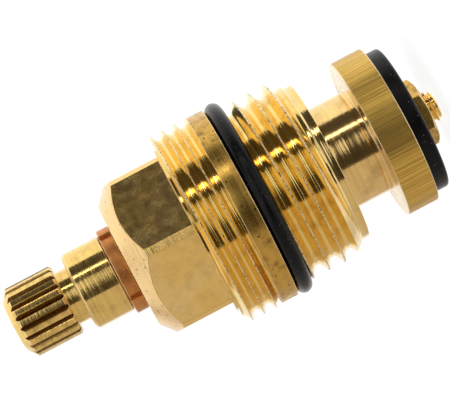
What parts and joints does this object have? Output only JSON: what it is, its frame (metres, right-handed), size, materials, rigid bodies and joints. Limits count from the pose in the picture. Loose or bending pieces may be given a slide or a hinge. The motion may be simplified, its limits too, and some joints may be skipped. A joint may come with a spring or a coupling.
{
  "type": "faucet stem",
  "caption": "Compression headwork for a tap: a threaded hexagon bonnet, a splined spindle that turns and a plunger with a rubber washer that slides.",
  "frame": {"origin": "on the spindle's axis in the plane of the flange's underside, which seats on the tap body", "axes": "+Z along the axis towards the handle, +X up and -Y to the viewer as the picture's level view shows it"},
  "size_m": [0.024, 0.024, 0.0538],
  "materials": {
    "brass": "turned brass, bright, with brushed and stained places",
    "bronze": "copper-coloured bronze, satin",
    "rubber": "black rubber, slightly dusty"
  },
  "bodies": {
    "bonnet_body": {"bonnet": "brass", "body_seal_ring": "rubber", "thrust_washer": "bronze"},
    "spindle_body": {"spindle": "brass", "retaining_clip": "bronze", "spindle_seal_ring_upper": "rubber", "spindle_seal_ring_lower": "rubber"},
    "plunger_body": {"plunger": "brass", "seat_washer": "rubber", "washer_nut": "brass"}
  },
  "joints": [
    {"name": "spindle_turn", "type": "hinge", "parent": "bonnet_body", "child": "spindle_body", "pos_m": [0, 0, 0], "axis": [0, 0, 1], "range_deg": [0, 720]},
    {"name": "plunger_slide", "type": "slide", "parent": "bonnet_body", "child": "plunger_body", "axis": [0, 0, 1], "range_m": [0, 0.004]}
  ],
  "couplings": [
    {"joint": "spindle_turn", "follows": "plunger_slide", "rad_per_m": 3141.6}
  ]
}
